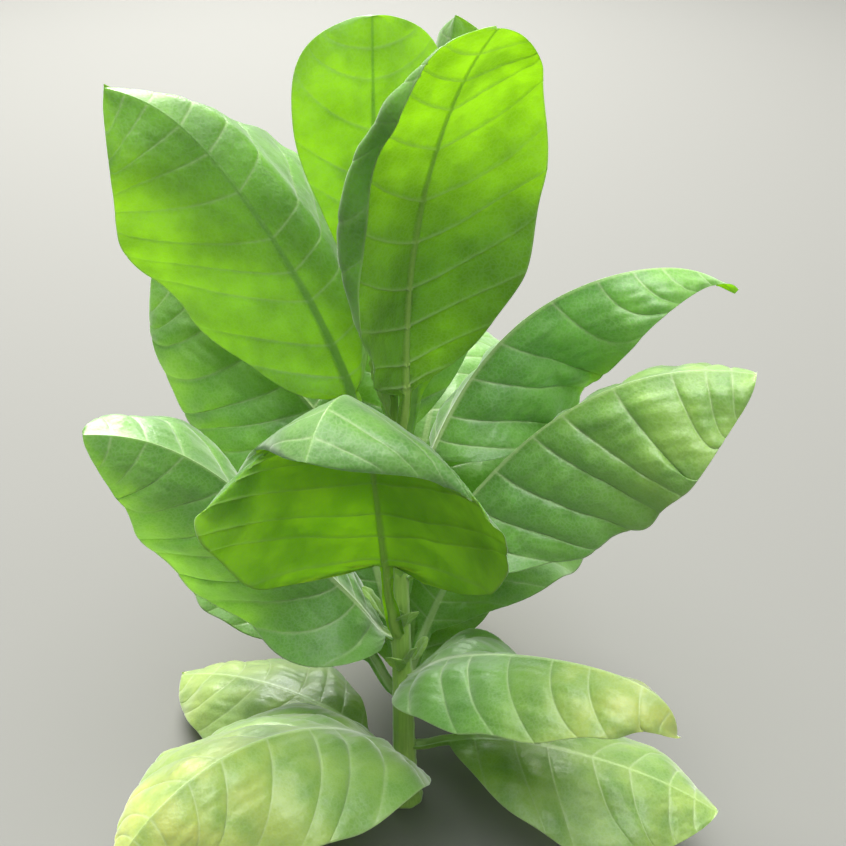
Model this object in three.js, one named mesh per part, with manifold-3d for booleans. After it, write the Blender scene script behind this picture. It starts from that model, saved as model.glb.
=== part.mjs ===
// A tobacco plant in full leaf, before it flowers: one stem, large leaves set round it in a spiral,
// and a bud of young leaves at its top. Millimetres, +Z up. The origin is the centre of the flat cut
// at ground level. A turn of 0 points along +X, and 90 along +Y.
import * as THREE from "three";
import { mergeVertices } from "three/addons/utils/BufferGeometryUtils.js";
import Module from "manifold-3d";

const wasm = await Module();
wasm.setup();

// The stem: its height, its radius low down and at the tip, and the flare of its foot
const STEM_HEIGHT = 640;
const STEM_RADIUS = 16;
const STEM_TIP_RADIUS = 4.5;
const STEM_FLARE = 9;
const STEM_FLARE_REACH = 26;
const STEM_TAPER = 0.8;
const STEM_LEAN = [-8, 4];
const STEM_SIDES = 18;
const STEM_RINGS = 26;
const RING_CROWDING = 1.3;

// What every leaf shares: its winged stalk, its midrib and the thickness of its blade
const STALK_HALF_WIDTH = 9;
const TIP_HALF_WIDTH = 1.5;
const BLADE_THICKNESS = 0.0105;
const LEAST_THICKNESS = 1.6;
const RIB_HALF_WIDTH = [8, 3.5];
const RIB_DEPTH = [9, 1];
const HEEL_LENGTH = 0.1;
const HEEL_PITCH = 40;
const GROWN_LENGTH = 400;
const OPEN_BY = 0.3;
const MARGIN_CURL = [-25, -25];
const MARGIN_BEND = [0.2, 1];
const WAVES = 4;
const WAVE_HEIGHT = 4;
const WAVE_SHIFT = 2;
const STATIONS = 96;
const END_CROWDING = 0.06;
const LEAF_ROWS = 12;
const LEAF_COLUMNS = 8;
const ROOT_DEPTH = 0.7;
const ROOT_CLEARANCE = 0.3;

// The large leaves from the ground up. height is where the stalk leaves the stem and turn the way it
// points. length runs along the midrib and width across the blade. pitch is the midrib's slope, from
// the stem to the tip. left and right are the rise of the two halves of the blade out of the plane of
// the midrib, from stem to tip, and curlLeft and curlRight what the margins add to it, between the two
// places across the half blade that bendLeft and bendRight give. stalk is the bare part of the length.
// A small shoulder gives a blade a broad foot, and a small taper a round tip.
const LEAVES = [
  { height: 60, turn: 150, length: 400, width: 210, pitch: [40, 5, -15, -30],
    left: [10, -5, -15, -10], right: [10, -5, -15, -10] },
  { height: 80, turn: 225, length: 510, width: 285, stalk: 0.05, shoulder: 0.5,
    pitch: [74, 50, 34, 15, -12, -45],
    left: [10, 10, -15, -40, -45], right: [10, -8, -25, -20, -10] },
  { height: 100, turn: 345, length: 420, width: 240, pitch: [40, 5, -10, -30],
    left: [10, 0, -15, -10], right: [10, 0, -15, -10] },
  { height: 130, turn: 85, length: 450, width: 250, pitch: [50, 15, -10, -35],
    left: [10, 0, -15, -10], right: [10, 0, -15, -10] },
  { height: 185, turn: 142, length: 420, width: 230, pitch: [55, 30, 5, -25],
    left: [10, 0, -15, -10], right: [10, 0, -15, -10] },
  { height: 232, turn: 326, length: 425, width: 225, stalk: 0.02, shoulder: 0.42,
    pitch: [60, 40, 28, 20, 12, -10, -88],
    left: [10, -30, -50, -50, -40], right: [10, 0, -10, -18, -25] },
  { height: 215, turn: 58, length: 460, width: 270, pitch: [55, 25, -5, -30],
    left: [10, 0, -15, -10], right: [10, 0, -15, -10] },
  { height: 242, turn: 110, length: 490, width: 280, pitch: [55, 25, -5, -28],
    left: [10, 0, -15, -10], right: [10, 0, -15, -10] },
  { height: 288, turn: 192, length: 490, width: 275, stalk: 0.04, shoulder: 0.55, taper: 0.6,
    pitch: [68, 56, 54, 52, 34, 5],
    left: [-20, -80, -88, -85, -75], right: [10, 0, -10, 0, 0] },
  { height: 300, turn: 250, length: 545, width: 400, shoulder: 0.4, stalk: 0.26, taper: 0.42,
    pitch: [82, 79, 79, 79, 76, 60, 5, -50],
    left: [0, -12, -18, -20], right: [0, -38, -42, -30] },
  { height: 340, turn: 78, length: 500, width: 280, pitch: [65, 40, 10, -20],
    left: [10, 0, -15, -10], right: [10, 0, -15, -10] },
  { height: 382, turn: 354, length: 515, width: 310, shoulder: 0.5, taper: 0.5,
    pitch: [70, 60, 52, 38, 16, -8],
    left: [10, -20, -42, -35, -25, -15], right: [10, -50, -65, -65, -50, -40] },
  { height: 430, turn: 152, length: 445, width: 260, pitch: [76, 60, 45, 35, 24, 13],
    left: [10, -40, -60, -50], right: [10, 0, -15, -10] },
  { height: 485, turn: 15, length: 545, width: 285, taper: 1.6,
    pitch: [76, 66, 48, 20, -5, -40],
    left: [10, -20, -40, -45, -40, -30], right: [10, -60, -80, -80, -30, -5] },
  { height: 505, turn: 95, length: 440, width: 240, pitch: [66, 50, 35, 15],
    left: [10, 0, -10, -10], right: [10, 0, -10, -10] },
  { height: 520, turn: 168, length: 548, width: 300, stalk: 0.22, shoulder: 0.55, taper: 0.55,
    pitch: [77, 73, 65, 57, 46, 8],
    left: [10, -66, -86, -86, -72, -60], right: [10, 55, 76, 78, 64, 36, 0],
    curlLeft: [-15, -15], curlRight: [-60, -76, -80, -72, -40], bendRight: [0.22, 0.34] },
  { height: 548, turn: 61, length: 490, width: 220, shoulder: 1.2, pitch: [70, 72, 74, 80, 84, 70],
    left: [10, -30, -40, -30], right: [10, -25, -30, -20] },
  { height: 580, turn: 305, length: 515, width: 250, shoulder: 0.6, taper: 0.6,
    pitch: [88, 88, 80, 70, 60, 44],
    left: [10, -20, -15, 0, 5], right: [10, -30, -20, 0, 5, 5],
    curlRight: [-20, -20, -50, -80, -60, -20] },
  { height: 600, turn: 109, length: 440, width: 168, shoulder: 1.7, taper: 0.5,
    pitch: [70, 76, 86, 90, 92, 92], left: [10, 15, 10, 5], right: [10, 10, 0, 0] },
];

// The young leaves of the bud, each shorter and steeper than the last
const BUD_LEAVES = 4;
const BUD_HEIGHT = 606;
const BUD_SPACING = 9;
const BUD_TURN = 225;
const SPIRAL_TURN = 137.5;
const BUD_LENGTH = 92;
const BUD_WIDTH = 0.24;
const BUD_SHRINK = 0.8;
const BUD_PITCH = 74;
const BUD_STEEPER = 4;

const radians = THREE.MathUtils.degToRad;

// A smooth run through values spread evenly over 0 to 1
function along(values, s) {
  const last = values.length - 1;
  const first = Math.min(Math.floor(s * last), last - 1);
  const f = s * last - first;
  const [a, b, c, d] = [-1, 0, 1, 2].map((step) => values[Math.max(0, Math.min(last, first + step))]);
  return b + 0.5 * f * (c - a + f * (2 * a - 5 * b + 4 * c - d + f * (3 * b - a - 3 * c + d)));
}

function stemRadius(z) {
  const body = STEM_TIP_RADIUS + (STEM_RADIUS - STEM_TIP_RADIUS) * (1 - z / STEM_HEIGHT) ** STEM_TAPER;
  return body + STEM_FLARE * Math.exp(-z / STEM_FLARE_REACH);
}

// The stem's axis leans slowly away from upright
function stemAxis(z) {
  const part = (z / STEM_HEIGHT) ** 1.5;
  return new THREE.Vector3(STEM_LEAN[0] * part, STEM_LEAN[1] * part, z);
}

function stemGeometry(extra) {
  const profile = [new THREE.Vector2(0, 0)];
  for (let ring = 0; ring <= STEM_RINGS; ring += 1) {
    const z = STEM_HEIGHT * (ring / STEM_RINGS) ** RING_CROWDING;
    profile.push(new THREE.Vector2(stemRadius(z) + extra, z));
  }
  profile.push(new THREE.Vector2(0, STEM_HEIGHT + STEM_TIP_RADIUS));
  const geometry = new THREE.LatheGeometry(profile, STEM_SIDES).rotateX(Math.PI / 2);
  const position = geometry.attributes.position;
  for (let i = 0; i < position.count; i += 1) {
    const axis = stemAxis(Math.min(Math.max(position.getZ(i), 0), STEM_HEIGHT));
    position.setXY(i, position.getX(i) + axis.x, position.getY(i) + axis.y);
  }
  return geometry;
}

function toSolid(geometry) {
  const bare = geometry.clone();
  bare.deleteAttribute("normal");
  bare.deleteAttribute("uv");
  const merged = mergeVertices(bare, 1e-4);
  return new wasm.Manifold(new wasm.Mesh({
    numProp: 3,
    vertProperties: new Float32Array(merged.attributes.position.array),
    triVerts: new Uint32Array(merged.index.array),
  }));
}

function toGeometry(solid) {
  const mesh = solid.getMesh();
  const geometry = new THREE.BufferGeometry();
  geometry.setAttribute("position", new THREE.BufferAttribute(new Float32Array(mesh.vertProperties), 3));
  geometry.setIndex(new THREE.BufferAttribute(new Uint32Array(mesh.triVerts), 1));
  geometry.computeVertexNormals();
  return geometry;
}

// How stout the stalk and midrib of a leaf are: a young, short leaf has slender ones
function youth(leaf) {
  return Math.min(1, leaf.length / GROWN_LENGTH);
}

// Half the width of a leaf: a narrow winged stalk that opens into an egg-shaped blade
function halfWidth(leaf, s) {
  const { stalk = 0.14, shoulder = 0.8, taper = 0.7 } = leaf;
  const x = Math.max(0, (s - stalk) / (1 - stalk));
  const widest = shoulder / (shoulder + taper);
  const peak = widest ** shoulder * (1 - widest) ** taper;
  const blade = (leaf.width / 2) * (x ** shoulder * (1 - x) ** taper) / peak;
  return Math.hypot(STALK_HALF_WIDTH * youth(leaf) * (1 - s), blade) + TIP_HALF_WIDTH;
}

// The midrib's course: its points and directions at evenly spaced stations
function midrib(leaf) {
  const heading = radians(leaf.turn);
  const outward = new THREE.Vector3(Math.cos(heading), Math.sin(heading), 0);
  const side = new THREE.Vector3(-Math.sin(heading), Math.cos(heading), 0);
  const point = stemAxis(leaf.height);
  point.addScaledVector(outward, stemRadius(leaf.height) * ROOT_DEPTH);
  const course = [];
  const step = leaf.length / STATIONS;
  for (let i = 0; i <= STATIONS; i += 1) {
    const s = i / STATIONS;
    const heel = HEEL_PITCH * Math.max(0, 1 - s / HEEL_LENGTH) ** 2;
    const pitch = radians(along(leaf.pitch, s) - heel);
    const ahead = outward.clone().multiplyScalar(Math.cos(pitch)).setZ(Math.sin(pitch));
    course.push({ point: point.clone(), side, up: ahead.clone().cross(side) });
    point.addScaledVector(ahead, step);
  }
  return course;
}

// Where a point of the blade lies across the midrib: aside and up, with the local slope
function across(leaf, s, t) {
  const half = halfWidth(leaf, s);
  const isLeft = t > 0;
  const open = THREE.MathUtils.smoothstep(s, 0, OPEN_BY);
  const fold = radians(along(isLeft ? leaf.left : leaf.right, s)) * open;
  const { curlLeft = MARGIN_CURL, curlRight = MARGIN_CURL } = leaf;
  const curl = radians(along(isLeft ? curlLeft : curlRight, s)) * open + 1e-6;
  const { bendLeft = MARGIN_BEND, bendRight = MARGIN_BEND } = leaf;
  const [start, end] = isLeft ? bendLeft : bendRight;
  const reach = Math.abs(t);
  const slope = fold + curl * THREE.MathUtils.clamp((reach - start) / (end - start), 0, 1);
  const near = Math.min(reach, start) * half;
  const arc = (half * (end - start)) / curl;
  const far = Math.max(0, reach - end) * half;
  const aside = near * Math.cos(fold) + arc * (Math.sin(slope) - Math.sin(fold)) + far * Math.cos(slope);
  const up = near * Math.sin(fold) + arc * (Math.cos(fold) - Math.cos(slope)) + far * Math.sin(slope);
  const beat = WAVES * 2 * Math.PI * s + (isLeft ? 0 : WAVE_SHIFT);
  const wave = WAVE_HEIGHT * youth(leaf) * open * reach * reach * Math.sin(beat);
  return { aside: isLeft ? aside : -aside, up: up + wave, slope: isLeft ? slope : -slope };
}

function leafGeometry(leaf) {
  const rows = leaf.rows ?? LEAF_ROWS;
  const geometry = new THREE.BoxGeometry(1, 2, 1, rows, LEAF_COLUMNS, 1);
  const position = geometry.attributes.position;
  const course = midrib(leaf);
  const thick = Math.max(LEAST_THICKNESS, leaf.length * BLADE_THICKNESS);
  for (let i = 0; i < position.count; i += 1) {
    const even = position.getX(i) + 0.5;
    const station = Math.round((even - END_CROWDING * Math.sin(2 * Math.PI * even)) * STATIONS);
    const s = station / STATIONS;
    const column = Math.round(position.getY(i) * (LEAF_COLUMNS / 2));
    const isUpper = position.getZ(i) > 0;
    const ribHalfWidth = THREE.MathUtils.lerp(...RIB_HALF_WIDTH, s) * youth(leaf);
    const rib = Math.min(0.5, ribHalfWidth / halfWidth(leaf, s));
    const outer = rib + (1 - rib) * ((Math.abs(column) - 1) / (LEAF_COLUMNS / 2 - 1));
    const t = column === 0 ? 0 : Math.sign(column) * outer;
    const place = across(leaf, s, t);
    const ribDepth = THREE.MathUtils.lerp(...RIB_DEPTH, Math.sqrt(s)) * youth(leaf);
    const lift = isUpper ? thick / 2 : -thick / 2 - (column === 0 ? ribDepth : 0);
    const slope = column === 0 ? 0 : place.slope;
    const { point, side, up } = course[station];
    const spot = point.clone()
      .addScaledVector(side, place.aside - lift * Math.sin(slope))
      .addScaledVector(up, place.up + lift * Math.cos(slope));
    position.setXYZ(i, spot.x, spot.y, spot.z);
  }
  return geometry;
}

// The leaf without what of its root lies within the stem and the narrow gap round it
function leafSolid(leaf, collar) {
  const pieces = toSolid(leafGeometry(leaf)).subtract(collar).decompose();
  return pieces.reduce((best, piece) => (piece.volume() > best.volume() ? piece : best));
}

const stemGreen = new THREE.MeshStandardMaterial({ color: 0x7a9a45, roughness: 0.6, metalness: 0 });
const leafGreen = new THREE.MeshStandardMaterial({ color: 0x5f9a2c, roughness: 0.55, metalness: 0 });
const budGreen = new THREE.MeshStandardMaterial({ color: 0x8cb83f, roughness: 0.55, metalness: 0 });

const plant = new THREE.Group();

function addPart(name, geometry, material) {
  const mesh = new THREE.Mesh(geometry, material);
  mesh.name = name;
  plant.add(mesh);
}

addPart("stem", toGeometry(toSolid(stemGeometry(0))), stemGreen);
const collar = toSolid(stemGeometry(ROOT_CLEARANCE / Math.cos(Math.PI / STEM_SIDES)));

LEAVES.forEach((leaf, i) => {
  const name = `leaf_${String(i + 1).padStart(2, "0")}`;
  addPart(name, toGeometry(leafSolid(leaf, collar)), leafGreen);
});

for (let i = 0; i < BUD_LEAVES; i += 1) {
  const length = BUD_LENGTH * BUD_SHRINK ** i;
  const pitch = BUD_PITCH + i * BUD_STEEPER;
  const leaf = {
    height: BUD_HEIGHT + i * BUD_SPACING,
    turn: BUD_TURN + i * SPIRAL_TURN,
    length,
    width: length * BUD_WIDTH,
    pitch: [pitch, pitch, pitch + 4, pitch + 6],
    left: [10, 15, 10, 5],
    right: [10, 15, 10, 5],
    rows: 8,
  };
  addPart(`bud_leaf_${i + 1}`, toGeometry(leafSolid(leaf, collar)), budGreen);
}

export default plant;
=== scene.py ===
# %% [markdown]
# # A tobacco plant in full leaf
# The plant stands in the field before it flowers: one green stem, nineteen large leaves set round it
# in a spiral, and a bud of young leaves. The solids give each leaf its place, curve and outline. Here
# every leaf is made again as a thin blade with its veins, and the stem with its ridges.

# %% Load the frame
import math

import bmesh
import bpy
import numpy as np
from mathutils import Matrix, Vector


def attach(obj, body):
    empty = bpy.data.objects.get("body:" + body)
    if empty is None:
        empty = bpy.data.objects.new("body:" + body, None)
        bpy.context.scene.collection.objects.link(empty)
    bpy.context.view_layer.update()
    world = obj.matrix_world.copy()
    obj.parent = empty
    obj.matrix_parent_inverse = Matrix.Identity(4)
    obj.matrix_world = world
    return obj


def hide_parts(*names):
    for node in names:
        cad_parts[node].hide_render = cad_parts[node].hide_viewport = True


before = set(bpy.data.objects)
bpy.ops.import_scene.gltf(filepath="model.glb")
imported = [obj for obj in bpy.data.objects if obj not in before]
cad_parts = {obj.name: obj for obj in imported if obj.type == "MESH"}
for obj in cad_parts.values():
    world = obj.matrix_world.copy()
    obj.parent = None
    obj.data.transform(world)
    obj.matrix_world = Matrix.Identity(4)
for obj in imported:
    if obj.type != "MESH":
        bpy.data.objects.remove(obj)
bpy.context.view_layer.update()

# %% [markdown]
# ## Sizes
# A plant is measured in millimetres and a Blender scene in metres, so the rules below work in
# millimetres and the meshes are scaled once, when they are made. The stem and the leaves follow the
# same few driving sizes as the solids, because a blade that replaces a solid has to lie where it lies.

# %% Sizes of the stem and of every leaf
MM = 0.001

STEM_HEIGHT = 640
STEM_RADIUS = 16
STEM_TIP_RADIUS = 4.5
STEM_FLARE = 9
STEM_FLARE_REACH = 26
STEM_TAPER = 0.8
STEM_LEAN = (-8, 4)
STEM_BEND = 1.5

USUAL_STALK = 0.14
USUAL_SHOULDER = 0.8
USUAL_TAPER = 0.7
STALK_HALF_WIDTH = 9
TIP_HALF_WIDTH = 1.5
TIP_SHARPNESS = 0.85
POINTED_FROM = 0.96
HEEL_LENGTH = 0.1
HEEL_PITCH = 40
GROWN_LENGTH = 400
OPEN_BY = 0.3
MARGIN_CURL = (-25, -25)
MARGIN_BEND = (0.2, 1)
WAVES = 4
WAVE_HEIGHT = 4
WAVE_SHIFT = 2
LEAST_CURL = 1e-6
STATIONS = 96
ROOT_DEPTH = 0.7

print("stem:", STEM_HEIGHT, "mm tall,", 2 * STEM_RADIUS, "mm thick above its flare")

# %% [markdown]
# ## The leaves
# Height is where a stalk leaves the stem and turn the way it points, 0 along +X. Pitch is the slope
# of the midrib from the stem to the tip, and left and right are how far the two halves of the blade
# rise out of it. A curl adds to that between the two places across the half blade that bend names.
# Stalk is how much of the length is winged stalk, and shoulder and taper shape the outline beyond it.
# Quilt is how much the blade bulges between its veins and ruffle how wavy its margins are. Age is how
# far it has yellowed at its stalk and at its tip: the lowest leaves of a plant ripen first.

# %% The large leaves from the ground up
LEAVES = [
    dict(height=60, turn=150, length=400, width=210, pitch=(40, 5, -15, -30),
         left=(10, -5, -15, -10), right=(10, -5, -15, -10), age=(0.25, 0.5)),
    dict(height=80, turn=225, length=510, width=285, stalk=0.05, shoulder=0.5,
         pitch=(74, 50, 34, 15, -12, -45),
         left=(10, 10, -15, -40, -45), right=(10, -8, -25, -20, -10), quilt=5, age=(0.2, 0.85)),
    dict(height=100, turn=345, length=420, width=240, pitch=(40, 5, -10, -30),
         left=(10, 0, -15, -10), right=(10, 0, -15, -10), age=(0.2, 0.4)),
    dict(height=130, turn=85, length=450, width=250, pitch=(50, 15, -10, -35),
         left=(10, 0, -15, -10), right=(10, 0, -15, -10)),
    dict(height=185, turn=142, length=420, width=230, pitch=(55, 30, 5, -25),
         left=(10, 0, -15, -10), right=(10, 0, -15, -10)),
    dict(height=232, turn=326, length=425, width=225, stalk=0.02, shoulder=0.42,
         pitch=(60, 40, 28, 20, 12, -10, -88),
         left=(10, -30, -50, -50, -40), right=(10, 0, -10, -18, -25), quilt=5, age=(0, 0.9)),
    dict(height=215, turn=58, length=460, width=270, pitch=(55, 25, -5, -30),
         left=(10, 0, -15, -10), right=(10, 0, -15, -10)),
    dict(height=242, turn=110, length=490, width=280, pitch=(55, 25, -5, -28),
         left=(10, 0, -15, -10), right=(10, 0, -15, -10)),
    dict(height=288, turn=192, length=490, width=275, stalk=0.04, shoulder=0.55, taper=0.6,
         pitch=(68, 56, 54, 52, 34, 5),
         left=(-20, -80, -88, -85, -75), right=(10, 0, -10, 0, 0), quilt=5),
    dict(height=300, turn=250, length=545, width=400, shoulder=0.4, stalk=0.26, taper=0.42,
         pitch=(82, 79, 79, 79, 76, 60, 5, -50),
         left=(0, -12, -18, -20), right=(0, -38, -42, -30), quilt=2),
    dict(height=340, turn=78, length=500, width=280, pitch=(65, 40, 10, -20),
         left=(10, 0, -15, -10), right=(10, 0, -15, -10)),
    dict(height=382, turn=354, length=515, width=310, shoulder=0.5, taper=0.5,
         pitch=(70, 60, 52, 38, 16, -8),
         left=(10, -20, -42, -35, -25, -15), right=(10, -50, -65, -65, -50, -40), quilt=8, age=(0, 0.25)),
    dict(height=430, turn=152, length=445, width=260, pitch=(76, 60, 45, 35, 24, 13),
         left=(10, -40, -60, -50), right=(10, 0, -15, -10), quilt=6),
    dict(height=485, turn=15, length=545, width=285, taper=1.6,
         pitch=(76, 66, 48, 20, -5, -40),
         left=(10, -20, -40, -45, -40, -30), right=(10, -60, -80, -80, -30, -5), quilt=6),
    dict(height=505, turn=95, length=440, width=240, pitch=(66, 50, 35, 15),
         left=(10, 0, -10, -10), right=(10, 0, -10, -10)),
    dict(height=520, turn=168, length=548, width=300, stalk=0.22, shoulder=0.55, taper=0.55,
         pitch=(77, 73, 65, 57, 46, 8),
         left=(10, -66, -86, -86, -72, -60), right=(10, 55, 76, 78, 64, 36, 0),
         curl_left=(-15, -15), curl_right=(-60, -76, -80, -72, -40), bend_right=(0.22, 0.34),
         quilt=2.2, ruffle=(1.2, 8)),
    dict(height=548, turn=61, length=490, width=220, shoulder=1.2, pitch=(70, 72, 74, 80, 84, 70),
         left=(10, -30, -40, -30), right=(10, -25, -30, -20), quilt=2.6),
    dict(height=580, turn=305, length=515, width=250, shoulder=0.6, taper=0.6,
         pitch=(88, 88, 80, 70, 60, 44),
         left=(10, -20, -15, 0, 5), right=(10, -30, -20, 0, 5, 5),
         curl_right=(-20, -20, -60, -150, -130, -30),
         bend_right=(0.7, 0.9), quilt=2.2, ruffle=(1.5, 4)),
    dict(height=600, turn=109, length=440, width=168, shoulder=1.7, taper=0.5,
         pitch=(70, 76, 86, 90, 92, 92), left=(10, 15, 10, 5), right=(10, 10, 0, 0), quilt=1.8),
]
print("large leaves:", len(LEAVES), "longest:", max(leaf["length"] for leaf in LEAVES), "mm")

# %% [markdown]
# ## The bud
# The youngest leaves stand almost upright round the tip of the stem, each shorter than the last. Four
# of them are solids. The smallest ones, which close the heart of the bud, are only drawn here.

# %% The leaves of the bud
BUD_LEAVES = 4
HEART_LEAVES = 5
BUD_LENGTH = 92
BUD_SHRINKING = 0.8
BUD_SLENDERNESS = 0.24
BUD_PITCH = (74, 88)
BUD_HEIGHT = 606
BUD_SPACING = 9
BUD_TOP = 630
BUD_TURN = 225
SPIRAL_TURN = 137.5


def bud_leaf(order):
    """The sizes of one bud leaf, counted from the outside."""
    length = BUD_LENGTH * BUD_SHRINKING ** order
    pitch = min(BUD_PITCH[0] + 4 * order, BUD_PITCH[1])
    height = min(BUD_HEIGHT + BUD_SPACING * order, BUD_TOP + order)
    return dict(height=height, turn=BUD_TURN + SPIRAL_TURN * order,
                length=length, width=length * BUD_SLENDERNESS,
                pitch=(pitch, pitch, pitch + 4, pitch + 6),
                left=(10, 15, 10, 5), right=(10, 15, 10, 5), quilt=0.5)


print("bud leaf lengths:", [round(bud_leaf(i)["length"]) for i in range(BUD_LEAVES + HEART_LEAVES)])

# %% [markdown]
# ## Side shoots
# Just above a stalk the stem starts a side shoot, which on a young plant is a tuft of three small
# leaves. Four of the stalks in front get one. A shoot needs only the number of the leaf above which it
# sits and the length of its longest leaf: the rest follows from that leaf's height and turn.

# %% The leaves of the side shoots
SHOOTS = ((10, 70), (12, 55), (6, 60), (14, 45))
SHOOT_TURNS = (-70, 40, -10)
SHOOT_LEAVES = len(SHOOT_TURNS)
SHOOT_RISE = 8
SHOOT_SPACING = 4
SHOOT_SHORTENING = 0.25
SHOOT_SLENDERNESS = 0.4


def shoot_leaf(number, longest, order):
    """The sizes of one leaf of the side shoot above that leaf. The last one stands in the middle."""
    host = LEAVES[number - 1]
    length = longest * (1 - SHOOT_SHORTENING * order)
    is_middle = order == SHOOT_LEAVES - 1
    return dict(height=host["height"] + SHOOT_RISE + SHOOT_SPACING * order,
                turn=host["turn"] + SHOOT_TURNS[order],
                length=length, width=longest * SHOOT_SLENDERNESS,
                pitch=(60, 75, 80, 70) if is_middle else (35, 62, 66, 40),
                left=(10, 25, 15, 5), right=(10, 20, 10, 5), quilt=1.2)


print("side shoots above leaves:", [number for number, longest in SHOOTS])

# %% [markdown]
# ## The rule of the stem
# A tobacco stem narrows a little faster near its tip, flares at its foot and leans slightly as it
# grows. Two short functions say so, and everything else asks them where the stem is. The two before
# them serve all the rules below: a smooth run through a few values, and a smooth step.


# %% Where the stem is
def along(values, s):
    """A smooth run through values spread evenly over 0 to 1. The values may be numbers or points."""
    values = np.asarray(values, float)
    last = len(values) - 1
    first = np.clip(np.floor(s * last).astype(int), 0, last - 1)
    f = s * last - first
    if values.ndim > 1:
        f = f[:, None]
    a, b, c, d = (values[np.clip(first + step, 0, last)] for step in (-1, 0, 1, 2))
    return b + 0.5 * f * (c - a + f * (2 * a - 5 * b + 4 * c - d + f * (3 * b - a - 3 * c + d)))


def smoothstep(value, start, end):
    """0 before the start, 1 after the end, and a smooth rise in between."""
    x = np.clip((value - start) / (end - start), 0, 1)
    return x * x * (3 - 2 * x)


def stem_radius(z):
    """The stem's radius at the height z, with the flare at its foot."""
    body = STEM_TIP_RADIUS + (STEM_RADIUS - STEM_TIP_RADIUS) * (1 - z / STEM_HEIGHT) ** STEM_TAPER
    return body + STEM_FLARE * np.exp(-z / STEM_FLARE_REACH)


def stem_axis(z):
    """The middle of the stem at the height z."""
    part = (z / STEM_HEIGHT) ** STEM_BEND
    return np.stack([STEM_LEAN[0] * part, STEM_LEAN[1] * part, z], axis=-1)


print("stem radius at the ground and half way up:", stem_radius(0), round(stem_radius(320), 1), "mm")

# %% [markdown]
# ## The rule of a leaf
# A leaf is a midrib that bends in one upright plane, with a half blade on either side that tilts and
# curls. Each function takes whole arrays: s runs from the stem to the tip, t across the blade from
# one margin at -1 over the midrib at 0 to the other margin at 1.
#
# The outline comes first. A tobacco leaf sits on the stem with a narrow winged stalk and opens into an
# egg-shaped blade. Two powers of the place along the leaf give that egg: the first says how fast the
# blade widens, the second how fast it narrows to the tip.


# %% The outline of a leaf
def youth(leaf):
    """How grown a leaf is: 1 for a full-sized one, less for the leaves of the bud."""
    return min(1, leaf["length"] / GROWN_LENGTH)


def half_width(leaf, s):
    """Half the width of a leaf: a narrow winged stalk that opens into an egg-shaped blade, and runs
    out to a point."""
    stalk = leaf.get("stalk", USUAL_STALK)
    shoulder = leaf.get("shoulder", USUAL_SHOULDER)
    taper = leaf.get("taper", USUAL_TAPER)
    x = np.clip((s - stalk) / (1 - stalk), 0, 1)
    widest = shoulder / (shoulder + taper)
    peak = widest ** shoulder * (1 - widest) ** taper
    blade = leaf["width"] / 2 * x ** shoulder * (1 - x) ** taper / peak
    tip = TIP_HALF_WIDTH * (1 - TIP_SHARPNESS * smoothstep(s, POINTED_FROM, 1))
    return np.hypot(STALK_HALF_WIDTH * youth(leaf) * (1 - s), blade) + tip


print("half width of leaf 10 at its middle:", round(half_width(LEAVES[9], 0.5)), "mm")

# %% [markdown]
# ## The midrib
# The midrib carries the leaf like a curved beam. Its slope at each place is known, so many short
# steps along that slope, added up, give its course. The first tenth is a heel: there the stalk leaves
# the stem flatter than it goes on, and hugs it.


# %% The course of the midrib
def pitch_at(leaf, s):
    """The slope of the midrib at s, with the heel that hugs the stem."""
    heel = HEEL_PITCH * np.maximum(0, 1 - s / HEEL_LENGTH) ** 2
    return np.radians(along(leaf["pitch"], s) - heel)


def midrib(leaf, s):
    """The points of the midrib at s, and the direction the blade faces there."""
    heading = math.radians(leaf["turn"])
    outward = np.array([math.cos(heading), math.sin(heading), 0])
    pitch = pitch_at(leaf, np.arange(STATIONS) / STATIONS)[:, None]
    steps = (outward * np.cos(pitch) + [0, 0, 1] * np.sin(pitch)) * leaf["length"] / STATIONS
    root = stem_axis(leaf["height"]) + outward * stem_radius(leaf["height"]) * ROOT_DEPTH
    stations = root + np.vstack([np.zeros(3), np.cumsum(steps, axis=0)])
    pitch = pitch_at(leaf, s)[:, None]
    up = [0, 0, 1] * np.cos(pitch) - outward * np.sin(pitch)
    side = np.array([-math.sin(heading), math.cos(heading), 0])
    return along(stations, s), side, up


tips = [midrib(leaf, np.array([1.0]))[0][0] for leaf in LEAVES]
print("highest leaf tip:", round(max(tip[2] for tip in tips)), "mm")

# %% [markdown]
# ## The two halves of the blade
# Each half starts out straight at its fold angle, then bends by its curl along an arc, and runs on
# straight to the margin. An arc has a length and an angle, so the half blade keeps its true width
# however far it rolls over. The length is divided by the angle, so the angle is never quite nothing.
# Long waves run along the margins, out of step on the two sides.


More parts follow.
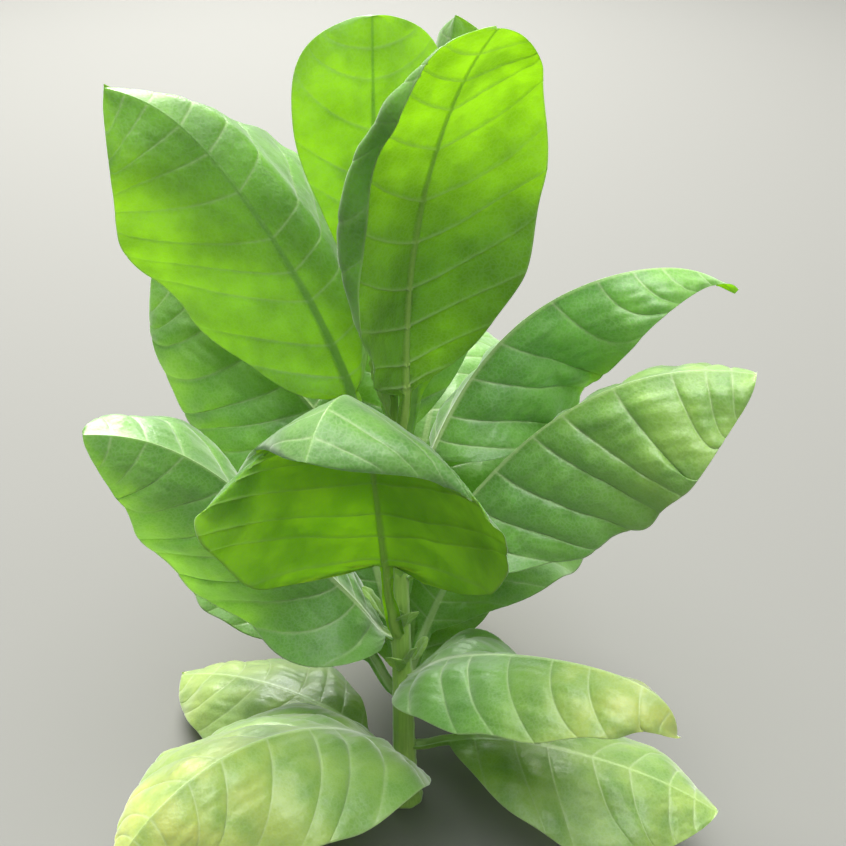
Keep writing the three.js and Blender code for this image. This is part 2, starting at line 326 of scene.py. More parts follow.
# %% How the halves fold and curl
def across(leaf, s, t, half):
    """Where a point of the blade lies beside and above the midrib, and the slope there."""
    is_left = t > 0
    opened = smoothstep(s, 0, OPEN_BY)

    def own(key, usual=None):
        left, right = leaf.get(key + "left", usual), leaf.get(key + "right", usual)
        return np.where(is_left, along(left, s), along(right, s))

    fold = np.radians(own("")) * opened
    curl = np.radians(own("curl_", MARGIN_CURL)) * opened + LEAST_CURL
    start, end = (np.where(is_left, leaf.get("bend_left", MARGIN_BEND)[i],
                           leaf.get("bend_right", MARGIN_BEND)[i]) for i in (0, 1))
    reach = np.abs(t)
    slope = fold + curl * np.clip((reach - start) / (end - start), 0, 1)
    near, arc = np.minimum(reach, start) * half, half * (end - start) / curl
    far = np.maximum(0, reach - end) * half
    aside = near * np.cos(fold) + arc * (np.sin(slope) - np.sin(fold)) + far * np.cos(slope)
    up = near * np.sin(fold) + arc * (np.cos(fold) - np.cos(slope)) + far * np.sin(slope)
    beat = WAVES * 2 * np.pi * s + np.where(is_left, 0, WAVE_SHIFT)
    wave = WAVE_HEIGHT * youth(leaf) * opened * reach ** 2 * np.sin(beat)
    sign = np.where(is_left, 1, -1)
    return sign * aside, up + wave, sign * slope


margin = across(LEAVES[9], np.array([0.5]), np.array([1.0]), half_width(LEAVES[9], 0.5))
print("left margin of leaf 10 half way:", round(margin[0][0]), "mm beside the midrib and",
      round(-margin[1][0]), "mm below it")

# %% [markdown]
# ## Veins and quilting
# Side veins leave the midrib in pairs, about 50 mm apart and closer near both ends of the leaf, lean
# towards the tip and bend more as they near the margin. The blade between them grows faster than they
# do, so it swells up into soft pillows. The rows of the mesh run along the veins: that keeps a vein
# one crisp line of vertices, where a square grid would cut it into steps.

# %% Sizes of the veins and of the relief
VEIN_SPACING = 50
VEIN_SWEEP = 0.7
VEIN_DEPTH = 2.2
VEIN_HALF_WIDTH = 1.2
FIRST_VEIN = 0.7
LAST_VEIN = 0.99
END_GAP = 0.45
GAP_SPREAD = (0.7, 1.3)
BLADE_THICKNESS = (1.1, 0.5)
RIB_HALF_WIDTH = (7.5, 1.2)
RIB_DEPTH = (8, 0.8)
BAY_ROWS = 14
COLUMNS = 72


def vein_places(leaf, rng):
    """Where the side veins leave the midrib, as parts of its length, with both ends of the leaf."""
    count = max(4, round(leaf["length"] / VEIN_SPACING))
    first = leaf.get("stalk", USUAL_STALK) * FIRST_VEIN
    gaps = END_GAP + np.sin(np.pi * (np.arange(count + 1) + 0.5) / (count + 1))
    gaps = np.cumsum(gaps * rng.uniform(*GAP_SPREAD, count + 1))
    return np.concatenate([[0], first + (LAST_VEIN - first) * gaps[:-1] / gaps[-1], [1]])


veins = vein_places(LEAVES[15], np.random.default_rng(0))
print("side veins on each half of leaf 16:", len(veins) - 2)

# %% [markdown]
# A grid has even rows and columns, and a leaf needs them where its shape turns fastest. So the rows
# draw together at the veins, the columns at the midrib and the margins, and each row leans forward as
# a side vein does. A bay is the strip of blade between two neighbouring veins.

# %% The rows and columns of a blade
VEIN_CROWDING = 0.62
RIB_CROWDING = 1.6
MARGIN_CROWDING = 1.25
LEAN_SPREAD = (0.8, 1.2)


def blade_places(leaf, e, c, rng):
    """Turns the grid's own places e (0 to 1) and c (-1 to 1) into s and t on the leaf, and says for
    each vertex how far through its bay it lies, how wide the bay is, and the number of the bay."""
    veins = vein_places(leaf, rng)
    bays = len(veins) - 1
    bay = np.minimum((e * bays + 1e-6).astype(int), bays - 1)
    part = e * bays - bay
    part = part - VEIN_CROWDING * np.sin(2 * np.pi * part) / (2 * np.pi)
    root = veins[bay] + part * (veins[bay + 1] - veins[bay])
    t = np.sign(c) * (1 - (1 - np.abs(c) ** RIB_CROWDING) ** MARGIN_CROWDING)
    lean = np.where(t > 0, along(rng.uniform(*LEAN_SPREAD, bays + 1), root),
                    along(rng.uniform(*LEAN_SPREAD, bays + 1), root))
    reach = np.minimum(half_width(leaf, root) / leaf["length"], 0.8 * (1 - root))
    s = root + VEIN_SWEEP * lean * reach * (0.4 * np.abs(t) + 0.6 * t * t)
    width = (veins[bay + 1] - veins[bay]) * leaf["length"]
    return np.clip(s, 0, 1), t, part, width, bay


print("the grid of leaf 16:", (len(veins) - 1) * BAY_ROWS, "rows and", COLUMNS, "columns")

# %% [markdown]
# ## The relief of the blade
# The swellings are a sum of soft reliefs: the pillow between two veins with dimples and humps on it,
# crumpling over a hand's breadth, a fine unevenness, and the ruffle of the margins. Each random one is
# a few crossing waves of about the same length, drawn from the leaf's own seed, so a leaf comes out
# the same each time. That was chosen over a displacement texture because the export keeps it.

# %% How far a blade swells
QUILT = 4
PILLOW_EDGE = (3, 30)
PILLOW_FULLNESS = 0.65
PILLOW_FADE = 0.5
MARGIN_CALM = 0.55
DIMPLE_SPACING = 20
DIMPLE_DRIFT = (0.8, 9)
DIMPLE_SHARE = 0.4
HUMP_LENGTH = 50
HUMP_SHARE = 0.5
CRUMPLE = 4.5
CRUMPLE_LENGTH = 95
FINE_HEIGHT = 0.6
FINE_LENGTH = 15
RUFFLE = (2.5, 2.5)
RUFFLE_LENGTH = 55
FAR_AWAY = 300


def waves(u, v, length, rng, count=5):
    """A soft random relief between -1 and 1: a few crossing waves of about that length."""
    total = np.zeros_like(u)
    for _ in range(count):
        angle = rng.uniform(0, 2 * np.pi)
        number = 2 * np.pi / (length * rng.uniform(0.7, 1.5))
        total += np.sin(number * (u * math.cos(angle) + v * math.sin(angle)) + rng.uniform(0, 6.3))
    return total / count


def relief(leaf, s, t, half, part, width, bay, rng):
    """How far the blade swells out of its smooth form, in millimetres. The ruffle of the left margin
    is taken from far away in the same waves, so that it differs from the right one."""
    u, v = s * leaf["length"], t * half
    reach = np.abs(t)
    young = youth(leaf)
    quilt = leaf.get("quilt", QUILT) * np.minimum(1, width / VEIN_SPACING) * (1.1 - PILLOW_FADE * s)
    room = smoothstep(reach * half, *PILLOW_EDGE) * (1 - MARGIN_CALM * smoothstep(reach, 0.7, 1))
    pillow = np.abs(np.sin(np.pi * part)) ** PILLOW_FULLNESS
    shift = rng.uniform(0, 6.3, len(np.unique(bay)) + 1)[bay]
    drift = DIMPLE_DRIFT[0] * np.sin(v / DIMPLE_DRIFT[1] + shift)
    dimple = np.abs(np.sin(np.pi * v / DIMPLE_SPACING + shift + drift))
    lumps = 1 + DIMPLE_SHARE * (dimple - 0.6) + HUMP_SHARE * waves(u, v, HUMP_LENGTH, rng)
    swell = quilt * room * pillow * lumps
    crumple = CRUMPLE * waves(u, v, CRUMPLE_LENGTH, rng) * smoothstep(reach, 0, 0.5)
    fine = FINE_HEIGHT * waves(u, v, FINE_LENGTH, rng, 7) * room
    ruffle = np.where(t > 0, *leaf.get("ruffle", RUFFLE)) * smoothstep(reach, 0.5, 1)
    ruffle = ruffle * waves(u + FAR_AWAY * (t > 0), v * 0.1, RUFFLE_LENGTH, rng, 4)
    return young * (swell + crumple + fine + ruffle)


print("tallest pillows:", max(leaf.get("quilt", QUILT) for leaf in LEAVES), "mm")

# %% [markdown]
# ## Making a blade
# The blade starts as a flat grid that is extruded once into a closed thin shell, so it has an upper
# side, an underside and a rim. The shell's vertices are then moved to their places on the leaf. A
# single sheet with a Solidify modifier would be shorter to write, but its two sides could not differ,
# and here the ribs stand out of the underside alone. The two sides also take different materials.


# %% A flat shell, moved to its places
def blade_mesh(name, leaf, seed, columns=COLUMNS, bay_rows=BAY_ROWS):
    """The thin shell of one leaf. The same seed always gives the same leaf."""
    rng = np.random.default_rng(seed)
    rows = (len(vein_places(leaf, np.random.default_rng(seed))) - 1) * bay_rows
    bm = bmesh.new()
    bmesh.ops.create_grid(bm, x_segments=rows, y_segments=columns, size=1)
    upper = bmesh.ops.extrude_face_region(bm, geom=bm.faces[:])["geom"]
    bmesh.ops.translate(bm, vec=(0, 0, 1), verts=[v for v in upper if isinstance(v, bmesh.types.BMVert)])
    bmesh.ops.recalc_face_normals(bm, faces=bm.faces[:])
    for face in bm.faces:
        face.smooth = True
        face.material_index = int(max(v.co.z for v in face.verts) < 0.5)
    grid = np.array([v.co for v in bm.verts])
    places, marks = leaf_surface(leaf, grid, rng)
    for vertex, place in zip(bm.verts, places * MM):
        vertex.co = place
    mesh = bpy.data.meshes.new(name)
    bm.to_mesh(mesh)
    bm.free()
    for mark, values in marks.items():
        mesh.attributes.new(mark, "FLOAT", "POINT").data.foreach_set("value", values.astype(np.float32))
    return mesh


print("a large blade:", COLUMNS, "columns, and", BAY_ROWS, "rows between two side veins")

# %% [markdown]
# ## The shell's vertices
# The midrib and the veins stand out of the underside, and from above they are shallow furrows. Four
# attributes go with the mesh for the materials: how much a vertex is side vein, with a painted
# highlight along the margin added to it, how much it is midrib, how far it has ripened, and a tone
# that differs a little from leaf to leaf. They are marked here, where the veins are known, so a
# material needs no picture of them. Where the stalk joins the stem it is no wider than the stem is
# thick, and from there it spreads.

# %% Sizes of the joint, the furrows and the marks
JOIN_WIDTH = 0.9
JOIN_REACH = 0.06
JOIN_SPREAD = 60
FOLD_ROUNDING = 8
NO_VEIN = 99
VEIN_SLANT = 0.85
VEIN_START = 3
VEIN_THINNING = 0.6
RIB_ROOM = 0.85
RIB_FURROW = 0.12
VEIN_FURROW = 0.3
RIB_MARK = (1.15, 0.75)
TIP_FADE = {"vein": 0.3, "rib": 0.7}
# A pale line painted along the margins as a highlight: where it starts across the blade, and how pale it
# is.
EDGE_HIGHLIGHT_FROM = 0.995
EDGE_HIGHLIGHT_PALENESS = 0.55
USUAL_AGE = (0, 0.05)
RIPENING_REACH = (0.35, 0.95)


def ripeness(leaf, s):
    """How far a leaf has yellowed. It yellows from its tip towards its stalk."""
    at_stalk, at_tip = leaf.get("age", USUAL_AGE)
    return at_stalk + (at_tip - at_stalk) * smoothstep(s, *RIPENING_REACH)


print("ripeness of leaf 2 half way:", round(ripeness(LEAVES[1], 0.5), 2), "and at its tip:",
      round(ripeness(LEAVES[1], 1), 2))


# %% Where the vertices go
def leaf_surface(leaf, grid, rng):
    """The places of the shell's vertices in millimetres, and their marks for the materials."""
    is_upper = grid[:, 2] > 0.5
    s, t, part, width, bay = blade_places(leaf, (grid[:, 0] + 1) / 2, grid[:, 1], rng)
    young = youth(leaf)
    half = half_width(leaf, s)
    join = stem_radius(leaf["height"]) * JOIN_WIDTH
    half = np.minimum(half, join + (half + JOIN_SPREAD * s) * smoothstep(s, 0, JOIN_REACH))
    aside, up, slope = across(leaf, s, t, half)
    off_rib = np.abs(t) * half
    off_vein = np.minimum(part, 1 - part) * width * VEIN_SLANT
    is_bay_end = (bay == bay.max()) & (part > 0.5)
    off_vein = np.where((bay == 0) & (part < 0.5) | is_bay_end, NO_VEIN, off_vein)
    rib_width = (RIB_HALF_WIDTH[0] + (RIB_HALF_WIDTH[1] - RIB_HALF_WIDTH[0]) * s ** 0.6) * young
    rib_width = np.minimum(rib_width, half * RIB_ROOM)
    rib_depth = (RIB_DEPTH[0] + (RIB_DEPTH[1] - RIB_DEPTH[0]) * np.sqrt(s)) * young
    rib = rib_depth * np.sqrt(np.maximum(0, 1 - (off_rib / rib_width) ** 2))
    fade = (1 - VEIN_THINNING * np.abs(t)) * smoothstep(off_rib, 0, VEIN_START)
    vein = np.exp(-((off_vein / VEIN_HALF_WIDTH) ** 2)) * fade
    thick = BLADE_THICKNESS[0] + (BLADE_THICKNESS[1] - BLADE_THICKNESS[0]) * np.abs(t)
    swell = relief(leaf, s, t, half, part, width, bay, rng)
    above = thick / 2 - RIB_FURROW * rib - VEIN_FURROW * vein * young
    below = -thick / 2 - rib - VEIN_DEPTH * vein * young
    lift = swell + np.where(is_upper, above, below)
    slope = slope * smoothstep(off_rib, 0, FOLD_ROUNDING * young)
    middle, side, facing = midrib(leaf, s)
    places = middle + side * (aside - lift * np.sin(slope))[:, None]
    places = places + facing * (up + lift * np.cos(slope))[:, None]
    # The pale line along the margin is a painted highlight, the bright edge that light gives a leaf,
    # carried in the vein mark.
    painted_edge_highlight = EDGE_HIGHLIGHT_PALENESS * (np.abs(t) > EDGE_HIGHLIGHT_FROM)
    on_rib = smoothstep(-off_rib, -rib_width * RIB_MARK[0], -rib_width * RIB_MARK[1])
    marks = {
        "vein": np.maximum(vein * (1 - TIP_FADE["vein"] * s), painted_edge_highlight),
        "rib": on_rib * (1 - TIP_FADE["rib"] * s),
        "age": ripeness(leaf, s),
        "tone": np.full(len(s), rng.uniform(0, 1)),
    }
    return places, marks


# %% [markdown]
# ## Colours and nodes
# Colours are given as the sRGB hex values that one reads off a screen, and one function turns them
# into the linear values that Blender mixes with. A second small function adds a node, sets it up and
# links it, so that each material below reads as a list. The rest are short forms of that one.


# %% Helpers for the materials
def linear(hex_colour):
    """An sRGB hex colour as linear RGBA, by the formula of the sRGB standard."""
    channels = [int(hex_colour[i:i + 2], 16) / 255 for i in (1, 3, 5)]
    return tuple(c / 12.92 if c <= 0.04045 else ((c + 0.055) / 1.055) ** 2.4 for c in channels) + (1,)


def add_node(tree, kind, settings=None, inputs=None):
    """Adds a node with its settings. An input is a value, or the socket that feeds it."""
    node = tree.nodes.new(kind)
    for name, value in (settings or {}).items():
        setattr(node, name, value)
    for name, value in (inputs or {}).items():
        if isinstance(value, bpy.types.NodeSocket):
            tree.links.new(value, node.inputs[name])
        else:
            node.inputs[name].default_value = value
    return node


def blend_colour(tree, factor, first, second):
    """One colour over another: the Mix node's colour sockets are its inputs 6 and 7."""
    settings = {"data_type": "RGBA", "clamp_factor": True}
    return add_node(tree, "ShaderNodeMix", settings, {0: factor, 6: first, 7: second}).outputs[2]


def mark(tree, name):
    """One of the attributes that a blade carries."""
    return add_node(tree, "ShaderNodeAttribute", {"attribute_name": name}).outputs["Fac"]


def scaled(tree, socket, factor):
    """A socket times a number or another socket."""
    return add_node(tree, "ShaderNodeMath", {"operation": "MULTIPLY"}, {0: socket, 1: factor}).outputs[0]


def new_material(name):
    """A material with an empty node tree."""
    material = bpy.data.materials.new(name)
    material.use_nodes = True
    material.node_tree.nodes.clear()
    return material


print("linear value of a leaf green:", [round(v, 3) for v in linear("#629640")[:3]])

# %% [markdown]
# ## The patterns of a leaf
# Close by, leaf skin shows a net of the smallest veins, here 5 mm apart, which a Voronoi pattern draws
# when its cells are bent a little by noise. Soft clouds 45 mm across make the green uneven. Puckers 9 mm
# across roughen the surface, as a bump: they are too fine for the mesh, and too soft to show on an edge.
# All three read Object coordinates, which are metres here, so a scale is one over a real size.

# %% The net of small veins, the clouds and the puckers
NET_SIZE = 5 * MM
NET_LINE_WIDTH = 0.22
MOTTLE_SIZE = 45 * MM
MOTTLE_EDGE = (0.36, 0.64)
PUCKER_SIZE = 9 * MM
PUCKER_HEIGHT = 2.5 * MM


def small_veins(tree, where):
    """1 on the lines of the net, 0 between them."""
    drift = add_node(tree, "ShaderNodeTexNoise", None,
                     {"Vector": where, "Scale": 1 / (2 * NET_SIZE), "Detail": 1.0}).outputs["Color"]
    bent = add_node(tree, "ShaderNodeVectorMath", {"operation": "MULTIPLY_ADD"},
                    {0: drift, 1: (NET_SIZE, NET_SIZE, NET_SIZE), 2: where}).outputs[0]
    net = add_node(tree, "ShaderNodeTexVoronoi", {"feature": "DISTANCE_TO_EDGE"},
                   {"Vector": bent, "Scale": 1 / NET_SIZE}).outputs["Distance"]
    return add_node(tree, "ShaderNodeMapRange", {"interpolation_type": "SMOOTHSTEP"},
                    {"Value": net, "From Max": NET_LINE_WIDTH, "To Min": 1.0, "To Max": 0.0}).outputs[0]


def clouds(tree, where):
    """Soft clouds between 0 and 1."""
    noise = add_node(tree, "ShaderNodeTexNoise", None,
                     {"Vector": where, "Scale": 1 / MOTTLE_SIZE, "Detail": 4.0}).outputs["Fac"]
    return add_node(tree, "ShaderNodeMapRange", None,
                    {"Value": noise, "From Min": MOTTLE_EDGE[0], "From Max": MOTTLE_EDGE[1]}).outputs[0]


def puckered(tree, where):
    """The direction the puckered skin faces."""
    puckers = add_node(tree, "ShaderNodeTexNoise", None,
                       {"Vector": where, "Scale": 1 / PUCKER_SIZE, "Detail": 2.5}).outputs["Fac"]
    return add_node(tree, "ShaderNodeBump", None,
                    {"Strength": 0.5, "Distance": PUCKER_HEIGHT, "Height": puckers}).outputs["Normal"]


print("cells of the net along 100 mm:", round(100 * MM / NET_SIZE))

# %% [markdown]
# ## The finish of a leaf
# Living leaf tissue is thin, so light comes through it as well as back from it. Each side is a
# Principled surface mixed with a Translucent one: seen against the light the blade glows yellow-green,
# and from above it is a duller green. The midrib is thick and lets little light through, so there the
# mix turns back to the plain surface. Fine down spreads the sky's reflection into a whitish bloom,
# which is the sheen, and the sticky film on it is the soft coat. A ripening leaf yellows in patches,
# which follow the clouds. Plant tissue is mostly water, which gives an IOR of about 1.42.

# %% Leaf tissue
TISSUE_IOR = 1.42
DOWN_TINT = "#fafcf8"
DOWN_ROUGHNESS = 0.45
FILM_ROUGHNESS = 0.5
RIPE, RIPE_GLOW = "#b6c264", "#dcd848"
# The vein colours also paint a pale highlight along the margins, which reaches them through the vein
# mark.
VEIN_PALE, VEIN_GLOW = "#cbdca6", "#9cbc3c"
RIB_GLOW = "#72a026"
RIB_BLOCKS = 0.5
PATCHINESS = (0.55, 1.25)
TONE_SHARE = 0.4
NET_SHARE = 0.14
VEIN_SHARE = 0.62
RIB_SHARE = 0.8


def leaf_material(name, green, deep, through, through_deep, roughness, sheen, share, rib_green):
    """Leaf tissue: two greens that light comes back in, two that it comes through in, its gloss,
    its down, the share of the light that comes through, and the green of its midrib."""
    material = new_material(name)
    tree = material.node_tree
    where = add_node(tree, "ShaderNodeTexCoord").outputs["Object"]
    net, mottle, skin = small_veins(tree, where), clouds(tree, where), puckered(tree, where)
    vein, rib, age, tone = (mark(tree, attribute) for attribute in ("vein", "rib", "age", "tone"))
    patches = add_node(tree, "ShaderNodeMapRange", None,
                       {"Value": mottle, "To Min": PATCHINESS[0], "To Max": PATCHINESS[1]}).outputs[0]

    def tinted(light, dark, ripe, line, rib_colour):
        base = blend_colour(tree, mottle, linear(dark), linear(light))
        base = blend_colour(tree, scaled(tree, tone, TONE_SHARE), base, linear(light))
        base = blend_colour(tree, scaled(tree, age, patches), base, linear(ripe))
        base = blend_colour(tree, scaled(tree, net, NET_SHARE), base, linear(line))
        # The vein mark lays the pale vein colour on the veins, and on the margins as a painted highlight.
        base = blend_colour(tree, scaled(tree, vein, VEIN_SHARE), base, linear(line))
        return blend_colour(tree, scaled(tree, rib, RIB_SHARE), base, linear(rib_colour))

    surface = add_node(tree, "ShaderNodeBsdfPrincipled", None, {
        "Base Color": tinted(green, deep, RIPE, VEIN_PALE, rib_green),
        "Roughness": roughness,
        "IOR": TISSUE_IOR,
        "Sheen Weight": sheen,
        "Sheen Roughness": DOWN_ROUGHNESS,
        "Sheen Tint": linear(DOWN_TINT),
        "Coat Weight": sheen,
        "Coat Roughness": FILM_ROUGHNESS,
        "Normal": skin,
    })
    glow_colour = tinted(through, through_deep, RIPE_GLOW, VEIN_GLOW, RIB_GLOW)
    glow = add_node(tree, "ShaderNodeBsdfTranslucent", None, {"Color": glow_colour, "Normal": skin})
    thinness = add_node(tree, "ShaderNodeMath", {"operation": "MULTIPLY_ADD"},
                        {0: rib, 1: -RIB_BLOCKS * share, 2: share}).outputs[0]
    both = add_node(tree, "ShaderNodeMixShader", None,
                    {0: thinness, 1: surface.outputs[0], 2: glow.outputs[0]})
    add_node(tree, "ShaderNodeOutputMaterial", None, {"Surface": both.outputs[0]})
    return material


# %% [markdown]
# ## Five leaf finishes
# The upper side is the darker and glossier one. The underside is paler, matt and lets more light out,
# because the leaf's green cells lie near its upper side. The young leaves at the top are thinner and
# duller, so they have a pair of their own, and the bud is the palest. The colours of the light coming
# through count twice, once on each side of the shell, so they are brighter than what the eye sees.

# %% Make the leaf finishes
upper_side = leaf_material(
    "Leaf tissue, upper side", green="#629640", deep="#4c8034", through="#b4e414",
    through_deep="#96c80c", roughness=0.38, sheen=0.75, share=0.42, rib_green="#b8d08c")
underside = leaf_material(
    "Leaf tissue, underside", green="#88bc40", deep="#72a832", through="#d4f01c",
    through_deep="#bce014", roughness=0.6, sheen=0.1, share=0.7, rib_green="#a4c45c")
thin_upper = leaf_material(
    "Thin leaf tissue, upper side", green="#669a3c", deep="#528632", through="#c4ec0c",
    through_deep="#accf08", roughness=0.4, sheen=0.5, share=0.6, rib_green="#669236")
thin_underside = leaf_material(
    "Thin leaf tissue, underside", green="#689a34", deep="#548626", through="#b4d80c",
    through_deep="#9cc008", roughness=0.6, sheen=0.1, share=0.54, rib_green="#a4c45c")
bud_tissue = leaf_material(
    "Bud leaf tissue", green="#94bc58", deep="#7aa844", through="#c8e428",
    through_deep="#b0d41c", roughness=0.5, sheen=0.4, share=0.45, rib_green="#a4c45c")
finishes = (upper_side, underside, thin_upper, thin_underside, bud_tissue)
print("leaf finishes:", [material.name for material in finishes])


# %% [markdown]
# ## The leaves in their places
# Each blade replaces the solid of the same name and rides on the plant's one body. The smallest
# leaves of the bud and the side shoots have no solid to replace. The leaves that start above 510 mm
# are the young steep ones, with thinner tissue. A small leaf needs a coarser grid than a large one,
# and each kind of leaf has seeds of its own.


# %% Make the leaves
YOUNG_ABOVE = 510
SMALL_COLUMNS = 24
SMALL_BAY_ROWS = 6
LEAF_SEED = 100
BUD_SEED = 200
SHOOT_SEED = 300


def place_piece(name, mesh, materials, replaced=None):
    """Makes a mesh a piece of the plant."""
    for material in materials:
        mesh.materials.append(material)
    piece = bpy.data.objects.new(name, mesh)
    bpy.context.collection.objects.link(piece)
    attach(piece, "root")
    if replaced:
        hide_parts(replaced)
    return piece


for i, leaf in enumerate(LEAVES):
    is_young = leaf["height"] > YOUNG_ABOVE
    sides = [thin_upper, thin_underside] if is_young else [upper_side, underside]
    mesh = blade_mesh(f"blade {i + 1:02d}", leaf, LEAF_SEED + i)
    place_piece(f"Blade_{i + 1:02d}", mesh, sides, f"leaf_{i + 1:02d}")

for i, (number, longest) in enumerate(SHOOTS):
    for k in range(SHOOT_LEAVES):
        mesh = blade_mesh(f"shoot {i + 1} blade {k + 1}", shoot_leaf(number, longest, k),
                          SHOOT_SEED + 10 * i + k, SMALL_COLUMNS, SMALL_BAY_ROWS)
        place_piece(f"Shoot_{i + 1}_blade_{k + 1}", mesh, [bud_tissue, bud_tissue])

for i in range(BUD_LEAVES + HEART_LEAVES):
    mesh = blade_mesh(f"bud blade {i + 1}", bud_leaf(i), BUD_SEED + i, SMALL_COLUMNS, SMALL_BAY_ROWS)
    replaced = f"bud_leaf_{i + 1}" if i < BUD_LEAVES else None
    place_piece(f"Bud_blade_{i + 1}", mesh, [bud_tissue, bud_tissue], replaced)

# %% [markdown]
# ## The stem
# A field tobacco stem is round and pithy, with shallow ridges that run down from each leaf's stalk and
# a slight swelling where the stalk sits. It starts as a plain cylinder whose long edges are cut into
# rings. Each ring then takes its radius from the rule of the stem, and the relief is added to it.

# %% Turn a cylinder into the stem
STEM_SIDES = 96
STEM_RINGS = 240
RIDGES = 9
RIDGE_HEIGHT = 0.5
RIDGE_TWIST = 0.004
RIDGE_REACH = 900
SWELLING = 1.3
SWELLING_HALF_ANGLE = 0.5
SWELLING_REACH = 45
SWELLING_TOP = 6
RING_HEIGHT = 0.5
RING_REACH = 4
RING_RISE = 3


def stem_relief(angle, z):
    """How far the stem stands out of its smooth form, in millimetres."""
    total = RIDGE_HEIGHT * np.sin(RIDGES * angle + RIDGE_TWIST * z) * np.exp(-z / RIDGE_REACH)
    for leaf in LEAVES:
        below = leaf["height"] - z
        offset = (angle - math.radians(leaf["turn"]) + np.pi) % (2 * np.pi) - np.pi
        near = np.exp(-((offset / SWELLING_HALF_ANGLE) ** 2))
        hanging = np.exp(-np.maximum(below, 0) / SWELLING_REACH) * (below > -SWELLING_TOP)
        total = total + SWELLING * near * hanging
        total = total + RING_HEIGHT * np.exp(-(((below + RING_RISE) / RING_REACH) ** 2))
    return total * np.minimum(1, stem_radius(np.minimum(z, STEM_HEIGHT)) / STEM_RADIUS)


bm = bmesh.new()
bmesh.ops.create_cone(bm, cap_ends=True, segments=STEM_SIDES, radius1=1, radius2=1, depth=1)
long_edges = [e for e in bm.edges if abs(e.verts[0].co.z - e.verts[1].co.z) > 0.5]
bmesh.ops.subdivide_edges(bm, edges=long_edges, cuts=STEM_RINGS)
raw = np.array([v.co for v in bm.verts])
angle = np.arctan2(raw[:, 1], raw[:, 0])
z = (raw[:, 2] + 0.5) * (STEM_HEIGHT + STEM_TIP_RADIUS)
dome = np.sqrt(np.maximum(0.01, 1 - (np.maximum(0, z - STEM_HEIGHT) / STEM_TIP_RADIUS) ** 2))
radius = (stem_radius(np.minimum(z, STEM_HEIGHT)) + stem_relief(angle, z)) * dome
places = stem_axis(np.minimum(z, STEM_HEIGHT))
places[:, 0] += radius * np.cos(angle)
places[:, 1] += radius * np.sin(angle)
places[:, 2] = z
for vertex, place in zip(bm.verts, places * MM):
    vertex.co = place
for face in bm.faces:
    face.smooth = len(face.verts) == 4
stem_mesh = bpy.data.meshes.new("stem")
bm.to_mesh(stem_mesh)
bm.free()
print("stem faces:", len(stem_mesh.polygons))

# %% [markdown]
# The stem's skin is soft green bark over pith, downy and a little paler than the leaves, with fine
# lines along it. The lines are noise that is squeezed across the stem and stretched along it.

# %% Stem skin
LINE_WIDTH = 2.5 * MM
LINE_LENGTH = 45 * MM
LINE_HEIGHT = 0.6 * MM

stem_skin = new_material("Downy green stem skin")
tree = stem_skin.node_tree
where = add_node(tree, "ShaderNodeTexCoord").outputs["Object"]
drawn_out = add_node(tree, "ShaderNodeMapping", None,
                     {"Vector": where, "Scale": (1 / LINE_WIDTH, 1 / LINE_WIDTH, 1 / LINE_LENGTH)})
lines = add_node(tree, "ShaderNodeTexNoise", None,
                 {"Vector": drawn_out.outputs[0], "Scale": 1.0, "Detail": 3.0}).outputs["Fac"]
bump = add_node(tree, "ShaderNodeBump", None, {"Strength": 0.5, "Distance": LINE_HEIGHT, "Height": lines})
skin = add_node(tree, "ShaderNodeBsdfPrincipled", None, {
    "Base Color": blend_colour(tree, lines, linear("#6f9a3c"), linear("#a3c35e")),
    "Roughness": 0.55,
    "IOR": TISSUE_IOR,
    "Sheen Weight": 0.4,
    "Sheen Roughness": 0.4,
    "Sheen Tint": linear(DOWN_TINT),
    "Normal": bump.outputs[0],
})
add_node(tree, "ShaderNodeOutputMaterial", None, {"Surface": skin.outputs[0]})
place_piece("Stem", stem_mesh, [stem_skin], "stem")
print("stem finish:", stem_skin.name)

# %% [markdown]
# ## The floor
# The plant stands on a plain pale floor. Its paint is a middle grey, which the lamps bring up to a pale
# one: a whiter paint would throw more light up under the leaves than the soil of a field does. It ends
# where its tone has fallen to that of the sky.

# %% Floor
FLOOR_HALF_WIDTH = 8

bm = bmesh.new()
bmesh.ops.create_grid(bm, x_segments=1, y_segments=1, size=FLOOR_HALF_WIDTH)
floor_mesh = bpy.data.meshes.new("floor")
bm.to_mesh(floor_mesh)
bm.free()
floor_paint = new_material("Matt floor paint")
paint = add_node(floor_paint.node_tree, "ShaderNodeBsdfPrincipled", None,
                 {"Base Color": linear("#5e5e5b"), "Roughness": 0.9})
add_node(floor_paint.node_tree, "ShaderNodeOutputMaterial", None, {"Surface": paint.outputs[0]})
floor_mesh.materials.append(floor_paint)
floor = bpy.data.objects.new("Floor", floor_mesh)
bpy.context.collection.objects.link(floor)
print("floor:", 2 * FLOOR_HALF_WIDTH, "m wide")

# %% [markdown]
# ## The light
# Daylight in a field comes from the whole sky, strongest from above and behind the leaves, so the
# strongest soft lamp stands high at the back. A low one behind mirrors itself in the level leaves as
# the bright sky near the horizon does, one hangs overhead, and a weak one fills the front. All are wide
# and some 8 m away, which lights the floor evenly. The camera does not see the lamps themselves. The
# Standard view keeps the strong yellow-greens, which the usual view would fade.

# %% Lamps and sky
PLANT_MIDDLE = (0, 0, 0.6)
SKY_STRENGTH = 0.26


def look_at(thing, place, target):
    """Puts a lamp or a camera in its place and turns it to its target."""
    thing.location = place
    thing.rotation_euler = (Vector(target) - Vector(place)).to_track_quat("-Z", "Y").to_euler()


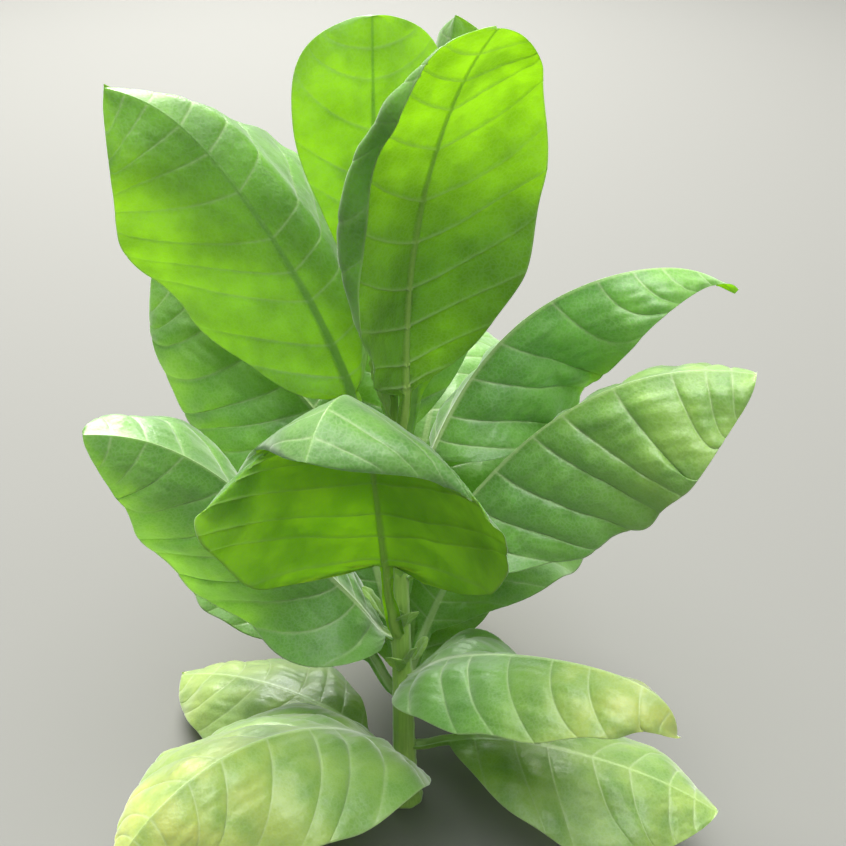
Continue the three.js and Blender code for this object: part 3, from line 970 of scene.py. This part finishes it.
def soft_lamp(name, place, size, power, colour):
    """A round lamp of that width in metres and power in watts, turned to the plant."""
    lamp = bpy.data.lights.new(name, "AREA")
    lamp.shape = "DISK"
    lamp.size = size
    lamp.energy = power
    lamp.color = linear(colour)[:3]
    thing = bpy.data.objects.new(name, lamp)
    thing.visible_camera = False
    bpy.context.collection.objects.link(thing)
    look_at(thing, place, PLANT_MIDDLE)


soft_lamp("High lamp at the back", (-1.5, 4.8, 7.8), 7, 2250, "#fffdf4")
soft_lamp("Low lamp at the back", (-1.0, 6.5, 4.4), 4.5, 800, "#ffffff")
soft_lamp("Lamp overhead", (0.6, -2.1, 8.7), 7.8, 1350, "#fbfdff")
soft_lamp("Lamp at the front", (4.8, -7.8, 4.8), 7.5, 160, "#f4f8ff")
world = bpy.data.worlds.new("Even sky")
world.use_nodes = True
sky = world.node_tree.nodes["Background"]
sky.inputs["Color"].default_value = linear("#eef3f7")
sky.inputs["Strength"].default_value = SKY_STRENGTH
bpy.context.scene.world = world
bpy.context.scene.view_settings.view_transform = "Standard"
print("lamps:", [lamp.name for lamp in bpy.data.lights])

# %% [markdown]
# ## The camera
# The photo was taken close to the plant, looking down on it, so the leaves at the top look large and
# those at the foot small. The camera stands 1.3 m from the plant's middle and 31 degrees above it, with
# a lens that takes in 40 degrees.

# %% Camera
VIEW_ANGLE = 40
VIEW_ELEVATION = 31
VIEW_DISTANCE = 1.3
VIEW_TARGET = (0.025, 0, 0.6)
SENSOR_WIDTH = 36

camera = bpy.data.cameras.new("Camera")
camera.sensor_width = SENSOR_WIDTH
camera.lens = SENSOR_WIDTH / 2 / math.tan(math.radians(VIEW_ANGLE / 2))
camera_object = bpy.data.objects.new("Camera", camera)
bpy.context.collection.objects.link(camera_object)
elevation = math.radians(VIEW_ELEVATION)
target = Vector(VIEW_TARGET)
offset = Vector((0, -math.cos(elevation), math.sin(elevation))) * VIEW_DISTANCE
look_at(camera_object, target + offset, target)
bpy.context.scene.camera = camera_object
print("camera lens:", round(camera.lens, 1), "mm")
